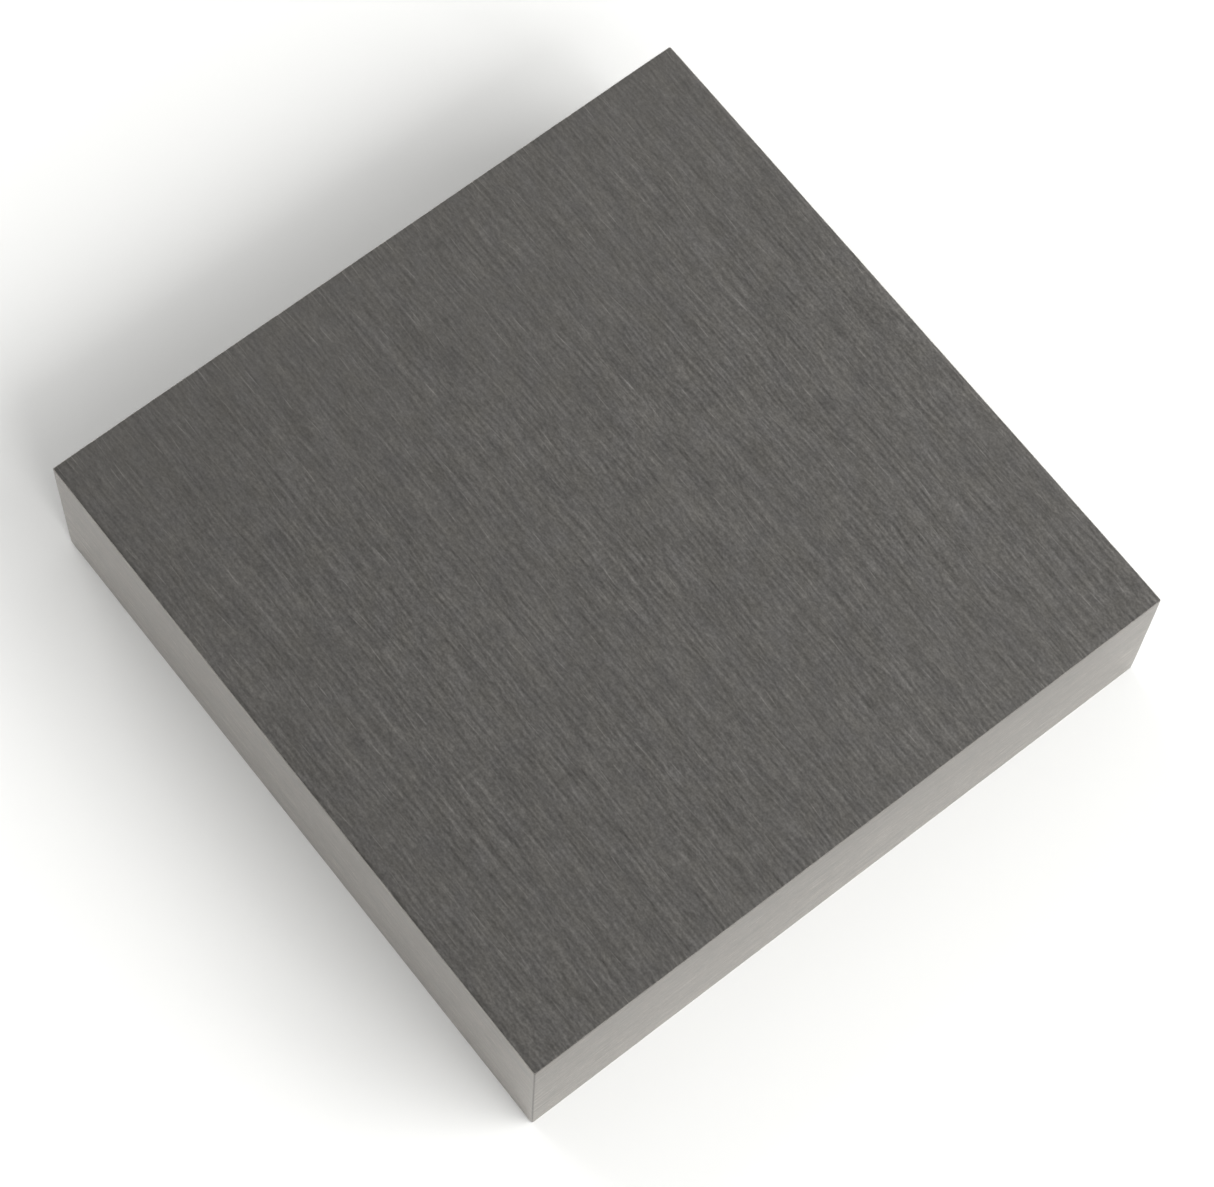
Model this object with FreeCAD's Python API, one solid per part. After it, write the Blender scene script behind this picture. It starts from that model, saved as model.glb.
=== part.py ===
import FreeCAD, Part
import os

# A steel slab for stamping, riveting and tooling leather on: one solid piece cut from flat bar,
# ground on all six faces, with every edge lightly broken so that it can't cut the hand or the work.
# X runs across the grinding grain, Y along it, and Z up. The origin is the centre of the base.
# All sizes are in millimetres.

WIDTH = 101.6            # across the grain: 4 in flat bar
DEPTH = 101.0            # along the grain: the length cut off the bar, ground square
THICKNESS = 25.0         # what grinding both faces clean leaves of 1 in bar
CORNER_BREAK = 0.3       # radius down the four upright corners
WORK_EDGE_BREAK = 0.25   # radius round the work face
BASE_EDGE_BREAK = 0.25   # radius round the base

TOUCH = 1e-6             # two lengths this close count as equal


def sawn_blank():
    """The square-edged blank, centred on the origin with its base at Z = 0."""
    corner = FreeCAD.Vector(-WIDTH / 2, -DEPTH / 2, 0)
    return Part.makeBox(WIDTH, DEPTH, THICKNESS, corner)


def upright_edges(shape):
    """The edges that run from the base to the work face."""
    return [edge for edge in shape.Edges if edge.BoundBox.ZLength > THICKNESS / 2]


def edges_at(shape, height):
    """The edges that lie wholly at one height."""
    return [
        edge
        for edge in shape.Edges
        if abs(edge.BoundBox.ZMin - height) < TOUCH and abs(edge.BoundBox.ZMax - height) < TOUCH
    ]


def steel_slab():
    """The finished slab: the blank with its corners rounded, then the work face and the base."""
    slab = sawn_blank()
    slab = slab.makeFillet(CORNER_BREAK, upright_edges(slab))
    slab = slab.makeFillet(WORK_EDGE_BREAK, edges_at(slab, THICKNESS))
    slab = slab.makeFillet(BASE_EDGE_BREAK, edges_at(slab, 0))
    return slab


def main():
    os.makedirs("parts", exist_ok=True)
    parts = {"steel_slab": steel_slab()}
    for name, shape in parts.items():
        shape.exportStep(os.path.join("parts", name + ".step"))
        print(name, "valid", shape.isValid(), "faces", len(shape.Faces), "volume", round(shape.Volume, 1))


main()
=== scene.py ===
import math

import bpy
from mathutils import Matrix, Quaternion, Vector


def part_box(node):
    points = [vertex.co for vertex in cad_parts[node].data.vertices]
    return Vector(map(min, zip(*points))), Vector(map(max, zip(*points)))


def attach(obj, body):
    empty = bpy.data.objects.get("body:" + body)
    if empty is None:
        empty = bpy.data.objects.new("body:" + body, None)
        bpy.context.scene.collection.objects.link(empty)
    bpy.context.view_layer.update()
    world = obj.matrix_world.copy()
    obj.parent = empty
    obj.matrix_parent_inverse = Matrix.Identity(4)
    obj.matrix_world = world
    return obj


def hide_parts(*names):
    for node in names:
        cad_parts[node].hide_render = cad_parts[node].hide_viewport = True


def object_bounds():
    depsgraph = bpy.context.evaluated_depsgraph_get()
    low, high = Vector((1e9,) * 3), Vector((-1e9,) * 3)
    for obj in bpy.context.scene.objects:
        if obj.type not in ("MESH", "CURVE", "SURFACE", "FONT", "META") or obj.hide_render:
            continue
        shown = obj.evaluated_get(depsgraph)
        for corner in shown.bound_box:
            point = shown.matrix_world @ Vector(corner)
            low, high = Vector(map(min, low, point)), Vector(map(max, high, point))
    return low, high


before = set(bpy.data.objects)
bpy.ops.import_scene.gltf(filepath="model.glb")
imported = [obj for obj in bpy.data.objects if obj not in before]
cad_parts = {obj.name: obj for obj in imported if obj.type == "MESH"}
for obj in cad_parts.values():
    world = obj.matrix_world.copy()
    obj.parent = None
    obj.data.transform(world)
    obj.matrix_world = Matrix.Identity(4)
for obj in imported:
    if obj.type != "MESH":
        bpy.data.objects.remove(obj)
CAD_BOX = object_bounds()

# A steel slab for hammering and stamping leather on: one piece of flat bar, with its work face
# and base surface ground and its four sides linished. X runs across the grinding grain of the
# work face, Y along it and Z up, and the base rests at Z = 0. Lengths are in metres.

MM = 0.001
NODE = "steel_slab"
LOW, HIGH = (Vector(corner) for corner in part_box(NODE))
SIZE = HIGH - LOW
MIDDLE = (LOW + HIGH) / 2
GRAIN_MAP = "grain"           # the UV map that every scratch follows: U across the grain, V along

# Every edge is broken by a stroke of a stone, so it is not quite even.
EDGE_BREAK = 0.20 * MM
CORNER_EXTRA = 0.08 * MM      # how much rounder an edge is where three faces meet
CORNER_REACH = 2.0 * MM       # how far along an edge that extra rounding reaches
BREAK_SCATTER = 0.08 * MM     # how much the break wanders in width along an edge
BREAK_WANDER = 6.0 * MM       # the length over which it wanders
MESH_STEP = 1.0 * MM          # the spacing of the mesh on the flat faces
BREAK_STEPS = 3               # mesh steps across half of a broken edge
HALF_BREAK = math.pi / 4      # the angle that half of a broken edge turns through
SLAB_SEED = 7                 # which wander the edges have

# The camera stands above one corner and looks down at the work face.
CAMERA_AZIMUTH = -42.67       # degrees
CAMERA_ELEVATION = 68.67      # degrees
CAMERA_ROLL = 4.77            # degrees
CAMERA_DISTANCE = 515.4 * MM
CAMERA_LENS = 116.82          # mm
CAMERA_SENSOR = 36.0          # mm
AIM_OFFSET = Vector((-1.65, -2.96, 0.0)) * MM    # from the slab's middle to where the camera aims

# The studio: a matt white board under soft boxes, in a dim room that is paler on the right and
# at table height.
FLOOR_HALF = 6.0
ROOM_GLOW = 0.10              # radiance of the room all round
WALL_GLOW = 0.31              # what the pale wall adds at its middle
WALL_AZIMUTH = 90             # degrees
WALL_ELEVATION = 45           # degrees
WALL_FOCUS = 6                # the larger, the smaller the patch
HORIZON_GLOW = 0.35           # what the pale walls add at table height
HORIZON_FALL = 1.5            # the larger, the sooner that fades with height
FLOOR_WHITE = "#F4F4F2"
FLOOR_ROUGHNESS = 0.9
FLOOR_GLOSS = 0.2             # specular level: paint this matt hardly shines
OVERHEAD_DISTANCE = 1.5
OVERHEAD_WIDTH = 2.4
OVERHEAD_GLOW = 0.30          # radiance
BOX_ELEVATION = 35            # degrees
BOX_DISTANCE = 1.6            # from the middle of the slab
BOX_WIDTH = 1.0
BOXES = (                     # name, azimuth in degrees, radiance
    ("left_box", -45, 0.4),
    ("front_box", 0, 5.8),
    ("right_box", 45, 5.2),
    ("back_box", 180, 2.9),
)

# The work face and the base are surface ground: a wheel leaves straight scratches along the
# grain, and the eye sees a dull dark grey, streaked lighter and darker. Each family of scratches
# has a width, a length, a slant from the grain and a share in the streaks. Real scratches are
# 0.02 to 0.05 mm wide, which is too fine to show, so they are drawn about ten times as wide.
# The last two families are the fine roughness of the scratches and the broad bands they make.
WHEEL_GROUND = {
    "warm": "#C2BEB7",
    "cool": "#BFBCB9",
    "roughness": 0.35,
    "spread": 0.7,            # how far the scratches pull a reflection out across the grain
    "scratches": (            # mm, mm, degrees, share
        (0.37, 0.7, 1.0, 0.50),
        (0.40, 2.4, -1.5, 0.47),
        (0.44, 7.0, 0.8, 0.45),
        (0.50, 20.0, -0.4, 0.42),
        (0.24, 0.3, 0.0, 0.40),
        (3.5, 8.0, 0.0, 0.15),
    ),
    "contrast": 0.70,         # how far the streaks go above and below the plain grey
    "single": 0.60,           # how much brighter the deepest single scratch is
    "depth": 0.015 * MM,      # of the grooves
    "upright": False,
}
# The narrow sides are linished: a finer belt leaves a paler satin, with faint streaks along
# each side. Its scratches are finer still, and are drawn wider for the same reason.
BELT_GROUND = {
    "warm": "#A49F9A",
    "cool": "#9F9C98",
    "roughness": 0.35,
    "spread": 0.5,
    "scratches": (            # mm, mm, degrees, share
        (0.30, 1.2, 1.5, 0.45),
        (0.33, 3.5, -1.0, 0.50),
        (0.38, 11.0, 0.5, 0.50),
        (0.24, 0.3, 0.0, 0.40),
        (3.0, 14.0, 0.0, 0.12),
    ),
    "contrast": 0.82,
    "single": 0.30,
    "depth": 0.006 * MM,
    "upright": True,
}
ROUGH_SCATTER = 0.12                      # how much rougher the paler streaks are
FACE_STARTS = (0.37, 0.53, 0.71)          # m, how far the grain map moves on X, Y and Z faces
FAMILY_SHIFT = (0.0137, 0.0071, 0.0)      # m, so that no two families of scratches line up
SWAY_CELL = (5.0 * MM, 14.0 * MM, 1.0)    # how long the sways of the grain are
SWAY = (0.9 * MM, 0.0, 0.0)               # and how far they go
GRIT_CELL = (1.0 * MM, 5.0 * MM, 1.0)     # one single scratch in each cell of this size
GRIT_LEAN = 0.30                          # cells; about 3 degrees either way
GRIT_WIDTH = 0.10                         # cells, from the middle of a scratch to its side
GRIT_LENGTH = 0.48                        # cells, from the middle of a scratch to its end
GRIT_RARITY = 3.0                         # the larger, the fewer are deep
FILM_CELL = (3.0 * MM, 4.0 * MM, 1.0)     # the size of a patch of oil film
PAINTED_SIDE_GRADIENT = 0.150                         # painted light and shade: how much paler a side is at its foot, and darker above
DARK_BAND_REACH = 0.28 * MM                    # the width of a painted dark band down the upright corners and along the foot and how dark it goes; along the foot it is painted shade
DARK_BAND_FACTOR = 0.40                         # down the corners and along the foot, and its shade
PATCH_CELL = (16.0 * MM, 22.0 * MM, 1.0)  # the patches where the streaks stand out more or less
PATCH_NOISE = (0.3, 0.7)                  # the values of their noise that count as least and most
PATCH_FAINT = 0.90                        # how strong the streaks are at the least
PATCH_STRONG = 1.10                       # and at the most
BACK_FADE = 42.0 * MM                     # the wheel was still settling on this much of the face
BACK_BITE = 0.66                          # how strong the streaks are at the back edge
FRONT_BITE = 1.07                         # and from there to the front edge
LEFT_BITE = 0.91                          # they also grow from the left edge
RIGHT_BITE = 1.10                         # to the right
MIX_COLOURS = (6, 7)                      # a Mix node's two colour inputs, which share their
MIX_RESULT = 2                            # names with other inputs, and its colour output


def linear(hex_colour):
    """An sRGB hex colour as linear red, green, blue and a full alpha."""
    values = [int(hex_colour[i:i + 2], 16) / 255 for i in (1, 3, 5)]
    return [v / 12.92 if v <= 0.04045 else ((v + 0.055) / 1.055) ** 2.4 for v in values] + [1.0]


def add(tree, kind, inputs=None, **settings):
    """Adds a node. Each input takes a value, a node's output, or a node for its first output."""
    node = tree.nodes.new(kind)
    for name, value in settings.items():
        setattr(node, name, value)
    for name, value in (inputs or {}).items():
        source = value.outputs[0] if isinstance(value, bpy.types.Node) else value
        if isinstance(source, bpy.types.NodeSocket):
            tree.links.new(source, node.inputs[name])
        else:
            node.inputs[name].default_value = source
    return node


# ---------------------------------------------------------------- the slab's shape

def slab_tree(steel_face, steel_side):
    """A rounded block: a cube mesh whose outer steps are crowded into the broken edges."""
    tree = bpy.data.node_groups.new("ground_slab", "GeometryNodeTree")
    sockets = tree.interface
    sockets.new_socket("Geometry", in_out="OUTPUT", socket_type="NodeSocketGeometry")
    sockets.new_socket("Size", in_out="INPUT", socket_type="NodeSocketVector")
    for name in ("Edge break", "Corner extra", "Corner reach", "Break scatter", "Break wander",
                 "Mesh step", "Seed"):
        sockets.new_socket(name, in_out="INPUT", socket_type="NodeSocketFloat")
    given = add(tree, "NodeGroupInput").outputs
    both_breaks = 2 * BREAK_STEPS

    # As many mesh steps as the flat needs, and a few more for the break at each end.
    flat_steps = add(tree, "ShaderNodeVectorMath", {0: given["Size"], 1: given["Mesh step"]},
                     operation="DIVIDE")
    whole_steps = add(tree, "ShaderNodeVectorMath", {0: flat_steps}, operation="FLOOR")
    steps = add(tree, "ShaderNodeVectorMath", {0: whole_steps, 1: (both_breaks,) * 3}, operation="ADD")
    points = add(tree, "ShaderNodeVectorMath", {0: steps, 1: (1, 1, 1)}, operation="ADD")
    count = add(tree, "ShaderNodeSeparateXYZ", {0: points}).outputs
    cube = add(tree, "GeometryNodeMeshCube", {
        "Size": (2, 2, 2), "Vertices X": count["X"], "Vertices Y": count["Y"], "Vertices Z": count["Z"]})

    # How far each point lies along the flat, and then how far round the break, on each axis.
    cube_point = add(tree, "GeometryNodeInputPosition")
    side = add(tree, "ShaderNodeVectorMath", {0: cube_point}, operation="SIGN")
    reach = add(tree, "ShaderNodeVectorMath", {0: cube_point}, operation="ABSOLUTE")
    half = add(tree, "ShaderNodeVectorMath", {0: given["Size"], "Scale": 0.5}, operation="SCALE")
    break_share = add(tree, "ShaderNodeVectorMath", {0: (both_breaks,) * 3, 1: steps}, operation="DIVIDE")
    flat_share = add(tree, "ShaderNodeVectorMath", {0: (1, 1, 1), 1: break_share}, operation="SUBTRACT")
    stretched = add(tree, "ShaderNodeVectorMath", {0: reach, 1: flat_share}, operation="DIVIDE")
    along_flat = add(tree, "ShaderNodeVectorMath", {0: stretched, 1: (1, 1, 1)}, operation="MINIMUM")
    past_flat = add(tree, "ShaderNodeVectorMath", {0: reach, 1: flat_share}, operation="SUBTRACT")
    past_share = add(tree, "ShaderNodeVectorMath", {0: past_flat, 1: break_share}, operation="DIVIDE")
    along_break = add(tree, "ShaderNodeVectorMath", {0: past_share, 1: (0, 0, 0)}, operation="MAXIMUM")
    angle = add(tree, "ShaderNodeVectorMath", {0: along_break, "Scale": HALF_BREAK}, operation="SCALE")
    turn = add(tree, "ShaderNodeVectorMath", {0: angle}, operation="TANGENT")
    signed_flat = add(tree, "ShaderNodeVectorMath", {0: side, 1: along_flat}, operation="MULTIPLY")

    # The break's own radius: it wanders along the edges and grows towards the corners.
    here = add(tree, "ShaderNodeVectorMath", {0: signed_flat, 1: half}, operation="MULTIPLY")
    waves = add(tree, "ShaderNodeMath", {0: 1.0, 1: given["Break wander"]}, operation="DIVIDE")
    noise = add(tree, "ShaderNodeTexNoise", {
        "Vector": here, "Scale": waves, "W": given["Seed"], "Detail": 2.0}, noise_dimensions="4D")
    off_middle = add(tree, "ShaderNodeMath", {0: noise, 1: 0.5}, operation="SUBTRACT")
    scatter = add(tree, "ShaderNodeMath", {0: given["Break scatter"], 1: 2.0}, operation="MULTIPLY")
    from_end = add(tree, "ShaderNodeVectorMath", {0: (1, 1, 1), 1: along_flat}, operation="SUBTRACT")
    lengths = add(tree, "ShaderNodeVectorMath", {0: from_end, 1: half}, operation="DOT_PRODUCT")
    corners = add(tree, "ShaderNodeMath", {0: lengths.outputs["Value"], 1: given["Corner reach"]},
                  operation="DIVIDE")
    falling = add(tree, "ShaderNodeMath", {0: corners, 1: -1.0}, operation="MULTIPLY")
    fade = add(tree, "ShaderNodeMath", {0: falling}, operation="EXPONENT")
    wandered = add(tree, "ShaderNodeMath", {0: off_middle, 1: scatter, 2: given["Edge break"]},
                   operation="MULTIPLY_ADD")
    radius = add(tree, "ShaderNodeMath", {0: fade, 1: given["Corner extra"], 2: wandered},
                 operation="MULTIPLY_ADD")

    # The core is the block less its break on every side; each point stands off it by the radius.
    core = add(tree, "ShaderNodeVectorMath", {0: half, 1: radius}, operation="SUBTRACT")
    core_point = add(tree, "ShaderNodeVectorMath", {0: signed_flat, 1: core}, operation="MULTIPLY")
    outward = add(tree, "ShaderNodeVectorMath", {0: side, 1: turn}, operation="MULTIPLY")
    unit = add(tree, "ShaderNodeVectorMath", {0: outward}, operation="NORMALIZE")
    stand_off = add(tree, "ShaderNodeVectorMath", {0: unit, "Scale": radius}, operation="SCALE")
    place = add(tree, "ShaderNodeVectorMath", {0: core_point, 1: stand_off}, operation="ADD")

    # Each face is noted before it is shaped, while its normal still tells which one it is.
    normal = add(tree, "GeometryNodeInputNormal")
    facing = add(tree, "ShaderNodeVectorMath", {0: normal}, operation="ABSOLUTE")
    facing_axis = add(tree, "ShaderNodeSeparateXYZ", {0: facing}).outputs
    on_flat = add(tree, "ShaderNodeMath", {0: facing_axis["Z"], 1: 0.5}, operation="GREATER_THAN")
    on_end = add(tree, "ShaderNodeMath", {0: facing_axis["Y"], 1: 0.5}, operation="GREATER_THAN")
    # Every face starts its grain at another place, so that no two faces have the same scratches.
    own_start = add(tree, "ShaderNodeVectorMath", {0: normal, 1: FACE_STARTS}, operation="DOT_PRODUCT")
    notes = {
        "On flat": on_flat.outputs["Value"],
        "On end": on_end.outputs["Value"],
        "Start": own_start.outputs["Value"],
    }
    noted = add(tree, "GeometryNodeCaptureAttribute", {"Geometry": cube}, domain="FACE")
    for name, source in notes.items():
        noted.capture_items.new("FLOAT", name)
        tree.links.new(source, noted.inputs[name])
    shaped = add(tree, "GeometryNodeSetPosition", {"Geometry": noted, "Position": place})

    # The grain map, in metres.
    placed = add(tree, "ShaderNodeSeparateXYZ", {0: add(tree, "GeometryNodeInputPosition")}).outputs
    flat_map = add(tree, "ShaderNodeCombineXYZ", {"X": placed["X"], "Y": placed["Y"]})
    end_map = add(tree, "ShaderNodeCombineXYZ", {"X": placed["Z"], "Y": placed["X"]})
    side_map = add(tree, "ShaderNodeCombineXYZ", {"X": placed["Z"], "Y": placed["Y"]})
    upright_map = add(tree, "GeometryNodeSwitch", {
        "Switch": noted.outputs["On end"], "True": end_map, "False": side_map}, input_type="VECTOR")
    face_map = add(tree, "GeometryNodeSwitch", {
        "Switch": noted.outputs["On flat"], "True": flat_map, "False": upright_map}, input_type="VECTOR")
    grain = add(tree, "ShaderNodeVectorMath", {0: face_map, 1: noted.outputs["Start"]}, operation="ADD")
    mapped = add(tree, "GeometryNodeStoreNamedAttribute", {
        "Geometry": shaped, "Value": grain, "Name": GRAIN_MAP}, data_type="FLOAT2", domain="CORNER")
    smooth = add(tree, "GeometryNodeSetShadeSmooth", {"Geometry": mapped})
    real = add(tree, "GeometryNodeRealizeInstances", {"Geometry": smooth})
    sided = add(tree, "GeometryNodeSetMaterial", {"Geometry": real, "Material": steel_side})
    faced = add(tree, "GeometryNodeSetMaterial", {
        "Geometry": sided, "Selection": noted.outputs["On flat"], "Material": steel_face})
    add(tree, "NodeGroupOutput", {"Geometry": faced})
    return tree


def make_slab(steel_face, steel_side):
    """The slab as a plain mesh, in its place on the frame."""
    tree = slab_tree(steel_face, steel_side)
    holder = bpy.data.objects.new("slab_maker", bpy.data.meshes.new("slab_maker"))
    bpy.context.scene.collection.objects.link(holder)
    shaper = holder.modifiers.new("shape", "NODES")
    shaper.node_group = tree
    wanted = {
        "Size": SIZE,
        "Edge break": EDGE_BREAK,
        "Corner extra": CORNER_EXTRA,
        "Corner reach": CORNER_REACH,
        "Break scatter": BREAK_SCATTER,
        "Break wander": BREAK_WANDER,
        "Mesh step": MESH_STEP,
        "Seed": float(SLAB_SEED),
    }
    for socket in tree.interface.items_tree:
        if socket.in_out == "INPUT":
            shaper[socket.identifier] = wanted[socket.name]
    graph = bpy.context.evaluated_depsgraph_get()
    mesh = bpy.data.meshes.new_from_object(holder.evaluated_get(graph), depsgraph=graph)
    bpy.data.objects.remove(holder)
    for vertex in mesh.vertices:
        vertex.co += MIDDLE
    mesh.name = "slab"
    slab = bpy.data.objects.new("slab", mesh)
    bpy.context.scene.collection.objects.link(slab)
    return slab


# ---------------------------------------------------------------- materials

def swaying_grain(tree):
    """The grain map in metres, U across and V along. It isn't ruler straight: it sways a little."""
    grain = add(tree, "ShaderNodeUVMap", uv_map=GRAIN_MAP)
    cells = add(tree, "ShaderNodeMapping", {"Vector": grain, "Scale": SWAY_CELL}, vector_type="TEXTURE")
    noise = add(tree, "ShaderNodeTexNoise", {"Vector": cells, "Scale": 1.0, "Detail": 1.0},
                noise_dimensions="2D")
    sway = add(tree, "ShaderNodeVectorMath", {0: noise.outputs["Color"], 1: SWAY}, operation="MULTIPLY")
    return add(tree, "ShaderNodeVectorMath", {0: grain, 1: sway}, operation="ADD")


def scratch_streaks(tree, grain, families):
    """One stretched noise for each family of scratches, added up: above 0 is light, below is dark."""
    streaks = -sum(share for *_, share in families) / 2
    for number, (width, length, slant, share) in enumerate(families):
        cells = add(tree, "ShaderNodeMapping", {
            "Vector": grain,
            "Location": Vector(FAMILY_SHIFT) * number,
            "Rotation": (0, 0, math.radians(slant)),
            "Scale": (width * MM, length * MM, 1),
        }, vector_type="TEXTURE")
        noise = add(tree, "ShaderNodeTexNoise", {"Vector": cells, "Scale": 1.0, "Detail": 0.0},
                    noise_dimensions="2D")
        streaks = add(tree, "ShaderNodeMath", {0: noise, 1: share, 2: streaks},
                      operation="MULTIPLY_ADD")
    return streaks


def single_scratches(tree, grain):
    """Bright scratches from single grits, one to a cell, each with its own lean and depth."""
    cells = add(tree, "ShaderNodeMapping", {"Vector": grain, "Scale": GRIT_CELL}, vector_type="TEXTURE")
    grits = add(tree, "ShaderNodeTexVoronoi", {"Vector": cells, "Scale": 1.0},
                voronoi_dimensions="2D", feature="F1")
    off = add(tree, "ShaderNodeVectorMath", {0: cells, 1: grits.outputs["Position"]},
              operation="SUBTRACT")
    off_axis = add(tree, "ShaderNodeSeparateXYZ", {0: off}).outputs
    own = add(tree, "ShaderNodeSeparateXYZ", {0: grits.outputs["Color"]}).outputs
    lean = add(tree, "ShaderNodeMapRange", {
        "Value": own["X"], "To Min": -GRIT_LEAN, "To Max": GRIT_LEAN})
    across = add(tree, "ShaderNodeMath", {0: off_axis["Y"], 1: lean, 2: off_axis["X"]},
                 operation="MULTIPLY_ADD")
    beside = add(tree, "ShaderNodeMath", {0: across}, operation="ABSOLUTE")
    beyond = add(tree, "ShaderNodeMath", {0: off_axis["Y"]}, operation="ABSOLUTE")
    ridge = add(tree, "ShaderNodeMapRange", {
        "Value": beside, "From Max": GRIT_WIDTH, "To Min": 1.0, "To Max": 0.0},
        interpolation_type="SMOOTHSTEP")
    ends = add(tree, "ShaderNodeMapRange", {
        "Value": beyond, "From Max": GRIT_LENGTH, "To Min": 1.0, "To Max": 0.0},
        interpolation_type="SMOOTHSTEP")
    depth = add(tree, "ShaderNodeMath", {0: own["Y"], 1: GRIT_RARITY}, operation="POWER")
    line = add(tree, "ShaderNodeMath", {0: ridge, 1: ends}, operation="MULTIPLY")
    return add(tree, "ShaderNodeMath", {0: line, 1: depth}, operation="MULTIPLY")


def wheel_bite(tree, bite):
    """The wheel runs on to the work face at the back, and bites to its full depth further on."""
    place = add(tree, "ShaderNodeTexCoord").outputs["Object"]
    place_axis = add(tree, "ShaderNodeSeparateXYZ", {0: place}).outputs
    settled = add(tree, "ShaderNodeMapRange", {
        "Value": place_axis["Y"],
        "From Min": HIGH.y - BACK_FADE,
        "From Max": HIGH.y,
        "To Min": FRONT_BITE,
        "To Max": BACK_BITE,
    })
    across = add(tree, "ShaderNodeMapRange", {
        "Value": place_axis["X"],
        "From Min": LOW.x,
        "From Max": HIGH.x,
        "To Min": LEFT_BITE,
        "To Max": RIGHT_BITE,
    })
    settled_bite = add(tree, "ShaderNodeMath", {0: bite, 1: settled}, operation="MULTIPLY")
    return add(tree, "ShaderNodeMath", {0: settled_bite, 1: across}, operation="MULTIPLY")


def painted_side_shade(tree, shade):
    """Painted light and shade on the upright sides: paler to the foot and darker above, and a painted
    dark band down their corners and along their foot.
    """
    place = add(tree, "ShaderNodeTexCoord").outputs["Object"]
    height = add(tree, "ShaderNodeSeparateXYZ", {0: place}).outputs["Z"]
    # Painted light and shade: the side's colour is paler at its foot and darker towards its top.
    painted_gradient = add(tree, "ShaderNodeMapRange", {
        "Value": height,
        "From Min": LOW.z,
        "From Max": HIGH.z,
        "To Min": 1 + PAINTED_SIDE_GRADIENT,
        "To Max": 1 - PAINTED_SIDE_GRADIENT,
    })
    from_middle = add(tree, "ShaderNodeVectorMath", {0: place, 1: MIDDLE}, operation="SUBTRACT")
    reach = add(tree, "ShaderNodeVectorMath", {0: from_middle}, operation="ABSOLUTE")
    inside = add(tree, "ShaderNodeVectorMath", {0: SIZE / 2, 1: reach}, operation="SUBTRACT")
    inside_axis = add(tree, "ShaderNodeSeparateXYZ", {0: inside}).outputs
    from_corner = add(tree, "ShaderNodeMath", {0: inside_axis["X"], 1: inside_axis["Y"]},
                      operation="MAXIMUM")
    from_foot = add(tree, "ShaderNodeMath", {0: height, 1: LOW.z}, operation="SUBTRACT")
    from_edge = add(tree, "ShaderNodeMath", {0: from_corner, 1: from_foot}, operation="MINIMUM")
    # A painted dark band down the upright corners and along the foot; at the foot it is painted shade.
    dark_band = add(tree, "ShaderNodeMapRange", {
        "Value": from_edge, "From Max": DARK_BAND_REACH, "To Min": DARK_BAND_FACTOR, "To Max": 1.0},
        interpolation_type="SMOOTHSTEP")
    gradient_shaded = add(tree, "ShaderNodeMath", {0: shade, 1: painted_gradient}, operation="MULTIPLY")
    return add(tree, "ShaderNodeMath", {0: gradient_shaded, 1: dark_band}, operation="MULTIPLY")


def bare_steel(name, look):
    """Bare steel with fine parallel scratches, all one way, that differ in depth.

    They pull every reflection out across the grain, and streak the face lighter and darker.
    """
    material = bpy.data.materials.new(name)
    material.use_nodes = True
    tree = material.node_tree
    tree.nodes.clear()
    grain = swaying_grain(tree)
    streaks = scratch_streaks(tree, grain, look["scratches"])
    single = single_scratches(tree, grain)

    # How light each point is: the streaks as a ratio, with the single scratches on top.
    patch_cells = add(tree, "ShaderNodeMapping", {"Vector": grain, "Scale": PATCH_CELL},
                      vector_type="TEXTURE")
    patches = add(tree, "ShaderNodeTexNoise", {"Vector": patch_cells, "Scale": 1.0, "Detail": 1.0},
                  noise_dimensions="2D")
    bite = add(tree, "ShaderNodeMapRange", {
        "Value": patches,
        "From Min": PATCH_NOISE[0],
        "From Max": PATCH_NOISE[1],
        "To Min": look["contrast"] * PATCH_FAINT,
        "To Max": look["contrast"] * PATCH_STRONG,
    })
    if not look["upright"]:
        bite = wheel_bite(tree, bite)
    power = add(tree, "ShaderNodeMath", {0: streaks, 1: bite}, operation="MULTIPLY")
    ratio = add(tree, "ShaderNodeMath", {0: power}, operation="EXPONENT")
    shade = add(tree, "ShaderNodeMath", {0: single, 1: look["single"], 2: ratio},
                operation="MULTIPLY_ADD")
    # The upright sides also get painted light and shade: paler at the foot, darker above, and a dark band
    # at the edges.
    if look["upright"]:
        shade = painted_side_shade(tree, shade)

    # A thin film of oil shifts the colour between a warmer and a cooler grey.
    cells = add(tree, "ShaderNodeMapping", {"Vector": grain, "Scale": FILM_CELL}, vector_type="TEXTURE")
    film = add(tree, "ShaderNodeTexNoise", {"Vector": cells, "Scale": 1.0, "Detail": 1.0},
               noise_dimensions="2D")
    tint = add(tree, "ShaderNodeMix", {
        "Factor": film,
        MIX_COLOURS[0]: linear(look["warm"]),
        MIX_COLOURS[1]: linear(look["cool"]),
    }, data_type="RGBA")
    steel = add(tree, "ShaderNodeVectorMath", {0: tint.outputs[MIX_RESULT], "Scale": shade},
                operation="SCALE")

    # The paler streaks are a little rougher, and every scratch is a small groove.
    rough = add(tree, "ShaderNodeMath", {0: streaks, 1: ROUGH_SCATTER, 2: look["roughness"]},
                operation="MULTIPLY_ADD")
    grooves = add(tree, "ShaderNodeBump", {"Height": streaks, "Distance": look["depth"]})
    tangent = add(tree, "ShaderNodeTangent", direction_type="UV_MAP", uv_map=GRAIN_MAP)
    shader = add(tree, "ShaderNodeBsdfPrincipled", {
        "Base Color": steel,
        "Metallic": 1.0,
        "Roughness": rough,
        "Anisotropic": look["spread"],
        "Tangent": tangent,
        "Normal": grooves,
    })
    add(tree, "ShaderNodeOutputMaterial", {"Surface": shader})
    return material


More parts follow.
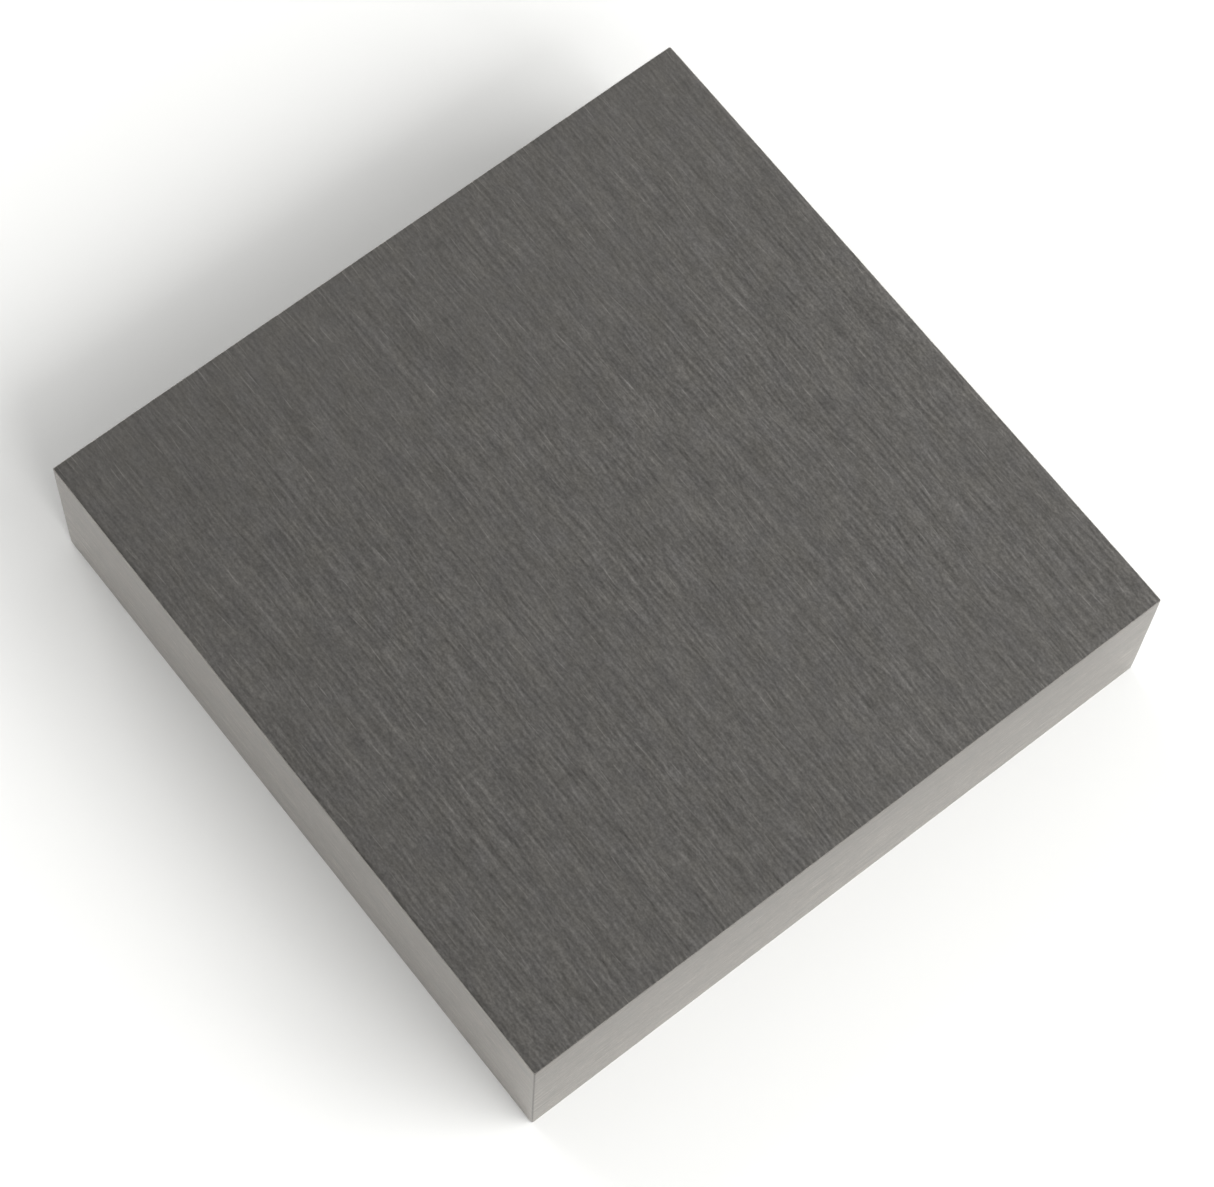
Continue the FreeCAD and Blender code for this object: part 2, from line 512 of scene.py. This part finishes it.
def white_board():
    """A board with matt white paint: the eye sees an even white with hardly a shine."""
    material = bpy.data.materials.new("matt_white_board")
    material.use_nodes = True
    tree = material.node_tree
    tree.nodes.clear()
    shader = add(tree, "ShaderNodeBsdfPrincipled", {
        "Base Color": linear(FLOOR_WHITE),
        "Roughness": FLOOR_ROUGHNESS,
        "Specular IOR Level": FLOOR_GLOSS,
    })
    add(tree, "ShaderNodeOutputMaterial", {"Surface": shader})
    return material


# ---------------------------------------------------------------- studio

def make_floor():
    """The board that the slab rests on."""
    mesh = bpy.data.meshes.new("floor")
    z = CAD_BOX[0].z
    reach = FLOOR_HALF
    points = [(-reach, -reach, z), (reach, -reach, z), (reach, reach, z), (-reach, reach, z)]
    mesh.from_pydata(points, [], [(0, 1, 2, 3)])
    mesh.materials.append(white_board())
    floor = bpy.data.objects.new("floor", mesh)
    bpy.context.scene.collection.objects.link(floor)


def way_to(azimuth, elevation):
    """The unit vector from the slab towards a place, by its azimuth and elevation in degrees."""
    a, e = math.radians(azimuth), math.radians(elevation)
    return Vector((math.sin(a) * math.cos(e), -math.cos(a) * math.cos(e), math.sin(e)))


def soft_box(name, azimuth, elevation, distance, width, radiance):
    """A square soft light that faces the slab. It lights the board, and leaves no patch on steel."""
    light = bpy.data.lights.new(name, "AREA")
    light.shape = "SQUARE"
    light.size = width
    light.energy = radiance * math.pi * width * width
    lamp = bpy.data.objects.new(name, light)
    back = way_to(azimuth, elevation)
    lamp.location = MIDDLE + back * distance
    lamp.rotation_mode = "QUATERNION"
    lamp.rotation_quaternion = (-back).to_track_quat("-Z", "Y")
    lamp.visible_glossy = False
    lamp.visible_camera = False
    bpy.context.scene.collection.objects.link(lamp)


def make_room():
    """The room round the table: dim, with a paler wall high on the right and a pale horizon."""
    world = bpy.data.worlds.new("room")
    bpy.context.scene.world = world
    world.use_nodes = True
    tree = world.node_tree
    tree.nodes.clear()
    way = add(tree, "ShaderNodeTexCoord")
    facing = add(tree, "ShaderNodeVectorMath", {
        0: way.outputs["Generated"], 1: way_to(WALL_AZIMUTH, WALL_ELEVATION)}, operation="DOT_PRODUCT")
    forward = add(tree, "ShaderNodeMath", {0: facing.outputs["Value"], 1: 0.0}, operation="MAXIMUM")
    patch = add(tree, "ShaderNodeMath", {0: forward, 1: WALL_FOCUS}, operation="POWER")
    glow = add(tree, "ShaderNodeMath", {0: patch, 1: WALL_GLOW, 2: ROOM_GLOW}, operation="MULTIPLY_ADD")
    height = add(tree, "ShaderNodeSeparateXYZ", {0: way.outputs["Generated"]}).outputs["Z"]
    above = add(tree, "ShaderNodeMath", {0: height, 1: 0.0}, operation="MAXIMUM")
    below_top = add(tree, "ShaderNodeMath", {0: 1.0, 1: above}, operation="SUBTRACT")
    low = add(tree, "ShaderNodeMath", {0: below_top, 1: HORIZON_FALL}, operation="POWER")
    walls = add(tree, "ShaderNodeMath", {0: low, 1: HORIZON_GLOW, 2: glow}, operation="MULTIPLY_ADD")
    back = add(tree, "ShaderNodeBackground", {"Color": walls})
    add(tree, "ShaderNodeOutputWorld", {"Surface": back})


def make_camera():
    """The camera looks a little past the middle of the slab, and is turned about its own line."""
    back = way_to(CAMERA_AZIMUTH, CAMERA_ELEVATION)
    data = bpy.data.cameras.new("camera")
    data.sensor_width = CAMERA_SENSOR
    data.lens = CAMERA_LENS
    camera = bpy.data.objects.new("camera", data)
    camera.location = MIDDLE + AIM_OFFSET + back * CAMERA_DISTANCE
    camera.rotation_mode = "QUATERNION"
    roll = Quaternion((0, 0, 1), math.radians(CAMERA_ROLL))
    camera.rotation_quaternion = (-back).to_track_quat("-Z", "Y") @ roll
    bpy.context.scene.collection.objects.link(camera)
    bpy.context.scene.camera = camera


bpy.context.scene.view_settings.view_transform = "Standard"
make_camera()
make_floor()
make_room()
soft_box("overhead_box", 0, 90, OVERHEAD_DISTANCE, OVERHEAD_WIDTH, OVERHEAD_GLOW)
for name, azimuth, radiance in BOXES:
    soft_box(name, azimuth, BOX_ELEVATION, BOX_DISTANCE, BOX_WIDTH, radiance)

work_face_steel = bare_steel("surface_ground_steel", WHEEL_GROUND)
side_steel = bare_steel("linished_steel", BELT_GROUND)
slab = make_slab(work_face_steel, side_steel)
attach(slab, "root")
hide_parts(NODE)
